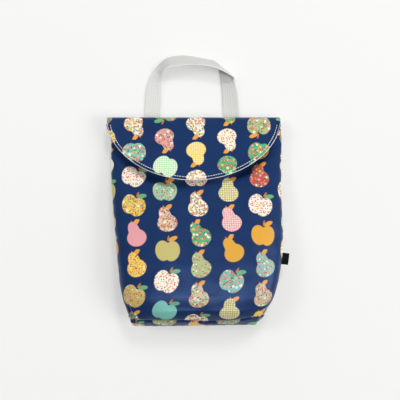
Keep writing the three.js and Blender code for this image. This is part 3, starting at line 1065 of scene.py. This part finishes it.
def flap_point(y, across, inset):
    """A row across the flap's start, between the fold and the flap's own first row."""
    x = centre(POUCH_LENGTH) + half_width(FOLD_LEVEL) * across
    return join(x, y, flap_height(x, y, DOUBLED_CLOTH - inset))


def fold_piece(name, rows, run_start):
    """One strip of the fold, cloth and lining, on one side of its crease."""
    across = np.linspace(-1, 1, FOLD_COLUMNS)
    for ply, (finish, node, inset, thickness) in PLIES.items():
        faces = (inset, inset + thickness)
        upper, lower = (np.array([row(across, face) for row in rows]) for face in faces)
        run = run_start + arc_length(upper[:, len(across) // 2])
        uv = join(-upper[:1, :, 0], run[:, None])
        piece = cloth_mesh(f"{name}_{ply}", upper, lower, uv)
        finish_piece(piece, finish, [node])
        blend_across(piece)


def make_fold(back_run):
    """A low strip from the back to the crease on the fold, and a high one from there to the flap."""
    low_rows = [partial(fold_point, degrees) for degrees in np.linspace(-90, CREASE_DEGREES, 30)]
    high_rows = [partial(fold_point, degrees) for degrees in np.linspace(CREASE_DEGREES, 90, 14)]
    high_rows += [partial(flap_point, y) for y in np.linspace(FOLD_Y, FLAP_START_Y, 3)[1:]]
    bent = math.radians(90 + CREASE_DEGREES) * FOLD_RADIUS
    fold_piece("fold_low", low_rows, back_run)
    fold_piece("fold_high", high_rows, back_run + bent)


# Stitching and closure


def front_seat(x, y):
    """The front's outer face where it is held flat under the flap."""
    return front_height(x, y + ORIGIN_LEVEL) + FRONT_SEAT


def flap_seat(x, y):
    """The underside of the flap's lining."""
    return front_height(x, y + ORIGIN_LEVEL) + FLAP_SEAT + flap_swell(x, y)


def surface_route(x, y, height):
    """A route on a surface given by its height, with the surface's normals along it."""
    slope_x = height(x + 0.5, y) - height(x - 0.5, y)
    slope_y = height(x, y + 0.5) - height(x, y - 0.5)
    return join(x, y, height(x, y)), unit(join(-slope_x, -slope_y, 1.0))


def make_topstitching():
    """One row inside the flap's rounded edge, and one across the mouth's hem."""
    x, y = flap_edge(np.linspace(0, 1, 900), STITCH_INSET)
    row = surface_route(x, y, flap_top)
    sew("flap_stitching", *row, FLAP_STITCH, "flap_topstitch", "flap")
    level = MOUTH_LEVEL - STITCH_INSET
    reach = half_width(level) - 2 * STITCH_INSET
    x = centre(level) + np.linspace(-reach, reach, 600)
    row = surface_route(x, level - ORIGIN_LEVEL, front_seat)
    sew("mouth_stitching", *row, MOUTH_STITCH, "mouth_topstitch", "bag")


def rectangle_route(low, high, inset=0.0):
    """Once round a rectangle from its lower left corner, in even steps along each side."""
    (left, bottom), (right, top) = low[:2] + inset, high[:2] - inset
    corners = np.array([[left, bottom], [right, bottom], [right, top], [left, top]])
    share = np.linspace(0, 1, 40, endpoint=False)[None, :, None]
    route = mix(corners[:, None], np.roll(corners, -1, axis=0)[:, None], share).reshape(-1, 2)
    return np.append(route[:, 0], left), np.append(route[:, 1], bottom)


def make_tape(name, body, finish, seat, way):
    """Tape on a seat, with its nap up (way 1) or down (way -1) and thinner at its rounded edges,
    sewn on by a row all round."""
    low, high = node_box(name)
    rows, columns = TAPE_GRID
    sides = (np.linspace(low[0], high[0], columns), np.linspace(low[1], high[1], rows))
    x, y = np.meshgrid(*sides)
    inwards = (x - low[0], high[0] - x, y - low[1], high[1] - y)
    rounded = ramp(np.minimum.reduce(inwards), 0, TAPE_ROUNDING)
    nap = TAPE_THICKNESS * mix(TAPE_EDGE_SHARE, 1.0, rounded)
    grids = [join(x, y, z) for z in (seat(x, y) + way * nap, seat(x, y))]
    finish_piece(cloth_mesh(f"{name}_tape", *grids, join(x, y)), finish, [name], body)
    x, y = rectangle_route(low, high, TAPE_STITCH_INSET)
    route, normal = surface_route(x, y, lambda a, b: seat(a, b) + way * TAPE_THICKNESS)
    sew(f"{name}_sewing", route, normal * way, TAPE_STITCH, f"{name}_stitch", body)


# Handle

# The webbing's two edges from the left sewn end over the bow to the right one. The outer edge
# stays on the table and the inner one leans up.
OUTER_EDGE = np.array([
    [-63.9, 92.5, 1.6], [-63.9, 112.0, 1.6], [-65.2, 125.8, 1.6], [-64.5, 141.6, 0.8],
    [-63.3, 158.3, 0.8], [-60.5, 170.4, 0.8], [-55.8, 180.7, 0.8], [-48.7, 189.4, 0.8],
    [-41.6, 196.3, 0.8], [-33.5, 200.4, 0.8], [-20.3, 202.3, 0.8], [-8.2, 201.7, 0.8],
    [6.0, 199.1, 0.8], [14.3, 197.5, 1.4], [20.6, 195.4, 3.0], [23.8, 193.1, 3.2],
    [25.3, 191.4, 2.4], [25.5, 188.9, 1.2], [26.7, 183.1, 0.9], [28.7, 170.4, 0.8],
    [30.4, 152.7, 0.8], [31.6, 127.3, 1.6], [31.0, 112.0, 1.6], [30.4, 92.5, 1.6],
])
INNER_EDGE = np.array([
    [-43.9, 92.5, 1.6], [-43.9, 112.0, 1.6], [-44.7, 125.9, 1.4], [-44.2, 141.7, 2.2],
    [-43.8, 157.2, 2.4], [-43.4, 168.5, 3.6], [-42.6, 176.5, 6.6], [-41.4, 180.9, 9.8],
    [-38.8, 183.4, 12.2], [-33.6, 184.6, 14.6], [-24.1, 186.1, 14.2], [-8.0, 187.3, 14.8],
    [8.0, 186.6, 15.2], [22.1, 183.8, 14.8], [34.1, 178.8, 13.8], [40.8, 175.6, 11.7],
    [44.9, 173.6, 8.9], [45.3, 171.3, 6.5], [47.0, 165.5, 5.2], [48.9, 158.2, 4.6],
    [50.4, 147.3, 4.0], [52.1, 127.1, 1.7], [51.0, 112.0, 1.6], [50.4, 92.5, 1.6],
])


def smooth_route(stations, count):
    """A Catmull-Rom curve through the stations, at equal steps of the station number."""
    before = 2 * stations[:1] - stations[1:2]
    after = 2 * stations[-1:] - stations[-2:-1]
    padded = np.concatenate([before, stations, after])
    place = np.linspace(0, len(stations) - 1, count)
    start = np.minimum(place.astype(int), len(stations) - 2)
    t = (place - start)[:, None]
    a, b, c, d = (padded[start + k] for k in range(4))
    bend = (2 * a - 5 * b + 4 * c - d) * t**2 + (3 * b - a - 3 * c + d) * t**3
    return 0.5 * (2 * b + (c - a) * t + bend)


def make_webbing():
    """The band between its two edge curves, raised to both sides by its half thickness, which has
    cosine ribs across it and thins at the selvedges."""
    stations, columns = WEBBING_GRID
    outer, inner = (smooth_route(edge, stations) for edge in (OUTER_EDGE, INNER_EDGE))
    share = np.linspace(0, 1, columns)
    middle = mix(outer[:, None], inner[:, None], share[None, :, None])
    width = np.abs(2 * share - 1)
    rounded = np.clip(1 - width**SELVEDGE_POWER, SELVEDGE_SHARE, 1)
    half = WEBBING_THICKNESS / 2 * np.sqrt(rounded)
    grooves = 0.5 - 0.5 * np.cos(2 * math.pi * RIBS * share)
    half = half - RIB_HEIGHT * grooves * (1 - width**RIB_FADE_POWER)
    raised = grid_normals(middle) * half[None, :, None]
    rings = np.concatenate([middle + raised, (middle - raised)[:, ::-1]], axis=1)
    run = arc_length(middle[:, len(share) // 2])
    across = np.concatenate([share, share[::-1]]) * WEBBING_WIDTH
    uv = join(across[None], run[:, None])
    webbing = ring_mesh("webbing_handle", rings, uv)
    finish_piece(webbing, WEBBING, ["handle_loop", "handle_end_left", "handle_end_right"])
    blend_across(webbing)


def make_webbing_sewing(side):
    """A box of stitches through a sewn end, with a line from corner to corner."""
    name = f"handle_stitch_{side}"
    low, high = node_box(name)
    x, y = rectangle_route(low, high)
    x, y = (np.append(box, np.linspace(low[k], high[k], 40)) for k, box in enumerate((x, y)))
    route = join(x, y, WEBBING_STITCH_Z)
    sew(f"handle_sewing_{side}", route, join(0 * x, 0.0, -1.0), WEBBING_STITCH, name, "bag")


def make_label():
    """A folded ribbon: it leaves the seam, droops and bends a little, and thins at its rims."""
    low, high = node_box("side_label")
    out, wide = np.meshgrid(*(np.linspace(0, 1, count) for count in LABEL_GRID))
    level = LABEL_LEVEL + LABEL_HEIGHT * (wide - 0.5)
    x = centre(level) + half_width(level) - LABEL_TUCK + out * (LABEL_REACH + LABEL_EXTRA)
    y = level - ORIGIN_LEVEL - LABEL_DROOP * out * LABEL_REACH
    bend = LABEL_BEND * np.sin(out * LABEL_BEND_TURN) * (wide - LABEL_BEND_LEVEL)
    z = (low[2] + high[2]) / 2 + bend
    rim = ramp(np.minimum(wide, 1 - wide), 0, LABEL_SIDE_RIM) * ramp(1 - out, 0, LABEL_END_RIM)
    half = mix(LABEL_RIM_HALF, LABEL_HALF, rim)
    grids = [join(x, y, z + side * half) for side in (1, -1)]
    uv = join(out * LABEL_REACH, wide * LABEL_HEIGHT)
    finish_piece(cloth_mesh("bare_side_label", *grids, uv), LABEL, ["side_label"], "bag")


# Table, light and camera
TABLE_COLOUR = "#f5f5f4"
TABLE_GLOW = 0.42
TABLE_HALF = 3000.0
TABLE_Z = -0.1
ROOM_LIGHT = 0.5
SHADE_LIGHT = 0.03
SHADE_LEAN = (0.3, 1.0, 0.0)
SHADE_RAMP = (-0.75, 0.0)
HORIZON_RAMP = (0.0, 0.06)
MIRROR_SHARE = 0.75
BACKDROP_LIGHT = 0.92
FRAME_WIDTH = 480.0
VIEW_CENTRE = (3.6, 25.0)
CAMERA_HEIGHT = 634.0
FOCUS_HEIGHT = 16.0
SENSOR = 36.0

# Lamps: place and size in metres, watts, and whether mirror rays and matte faces see them. The
# softbox is there for the sheen alone, and the last two leave no highlight of their own.
LAMPS = [
    ("window", (2.95, -0.9, 2.45), 1.7, 68.0, True, True),
    ("softbox", (0.3, -1.1, 2.8), 1.3, 42.0, True, False),
    ("skylight", (0.6, 2.3, 2.2), 0.6, 36.0, False, True),
    ("far_window", (-2.1, 1.0, 2.15), 0.8, 23.5, False, True),
]


def make_table():
    """A pale matte table. A share of what the camera and mirrors see of it is even white, which
    softens the pouch's shadow; the light that it gives back to the pouch is all its own."""
    material = bpy.data.materials.new("pale_painted_table")
    add = empty_tree(material)
    paint = {"Base Color": colour(TABLE_COLOUR), "Roughness": 0.9, "Specular IOR Level": 0.1}
    shader = add("BsdfPrincipled", paint)
    rays = add("LightPath").outputs
    seen = rays["Is Camera Ray"]
    for ray in ("Is Glossy Ray", "Is Transmission Ray"):
        seen = add("Math", seen, rays[ray], operation="MAXIMUM")
    share = add("Math", seen, TABLE_GLOW, operation="MULTIPLY")
    glow = add("Emission", {"Color": colour(TABLE_COLOUR), "Strength": 1.0})
    mixed = add("MixShader", share, shader, glow)
    add("OutputMaterial", {"Surface": mixed})
    ends = (-TABLE_HALF, TABLE_HALF)
    corners = [(x, y, TABLE_Z) for y in ends for x in ends]
    table = make_mesh("table", corners, [[0, 1, 3, 2]])
    table.data.materials.append(material)


def make_light(name, place, size, power, mirrored, shading):
    """A square lamp aimed at the pouch."""
    data = bpy.data.lights.new(name, "AREA")
    data.shape = "SQUARE"
    data.size = size
    data.energy = power
    lamp = link_object(name, data)
    lamp.location = place
    lamp.rotation_euler = (-Vector(place)).to_track_quat("-Z", "Y").to_euler()
    lamp.visible_glossy = mirrored
    lamp.visible_diffuse = shading


def make_world():
    """A soft room that darkens towards the side of the bottom seam. The camera sees it white, and
    so does a mirror at the horizon."""
    world = bpy.data.worlds.new("soft_room")
    add = empty_tree(world)
    heading = add("TexCoord").outputs["Generated"]
    leant = add("VectorMath", heading, SHADE_LEAN, operation="DOT_PRODUCT")
    room = add("MapRange", leant, *SHADE_RAMP, SHADE_LIGHT, ROOM_LIGHT)
    height = add("SeparateXYZ", heading).outputs["Z"]
    horizon = add("MapRange", height, *HORIZON_RAMP, 1.0, 0.0)
    rays = add("LightPath").outputs
    mirrored = add("Math", rays["Is Glossy Ray"], rays["Is Transmission Ray"], operation="MAXIMUM")
    mirrored = add("Math", mirrored, horizon, operation="MULTIPLY")
    seen = add("Math", rays["Is Camera Ray"], mirrored, operation="MAXIMUM")
    dimmed = add("MapRange", rays["Is Glossy Ray"], 0, 1, 1.0, MIRROR_SHARE)
    level = add("Math", room, dimmed, operation="MULTIPLY")
    strength = add("Mix", {0: seen, 2: level, 3: BACKDROP_LIGHT})
    light = add("Background", {"Color": colour("#ffffff"), "Strength": strength})
    add("OutputWorld", {"Surface": light})
    bpy.context.scene.world = world


def make_camera():
    data = bpy.data.cameras.new("camera")
    data.sensor_width = SENSOR
    data.lens = SENSOR * CAMERA_HEIGHT / FRAME_WIDTH
    data.clip_end = 20.0
    camera = link_object("camera", data)
    camera.location = Vector((*VIEW_CENTRE, CAMERA_HEIGHT + FOCUS_HEIGHT)) * MM
    bpy.context.scene.camera = camera


make_camera()
make_table()
make_world()
for lamp_row in LAMPS:
    make_light(*lamp_row)
bpy.context.scene.view_settings.view_transform = "Standard"

make_front()
BACK_RUN = make_back()
make_fold(BACK_RUN)
make_flap(BACK_RUN)
make_flap_roll()
make_topstitching()
make_tape("loop_patch", "bag", LOOPS, front_seat, 1)
make_tape("hook_patch", "flap", HOOKS, flap_seat, -1)
make_webbing()
for end_side in ("left", "right"):
    make_webbing_sewing(end_side)
make_label()
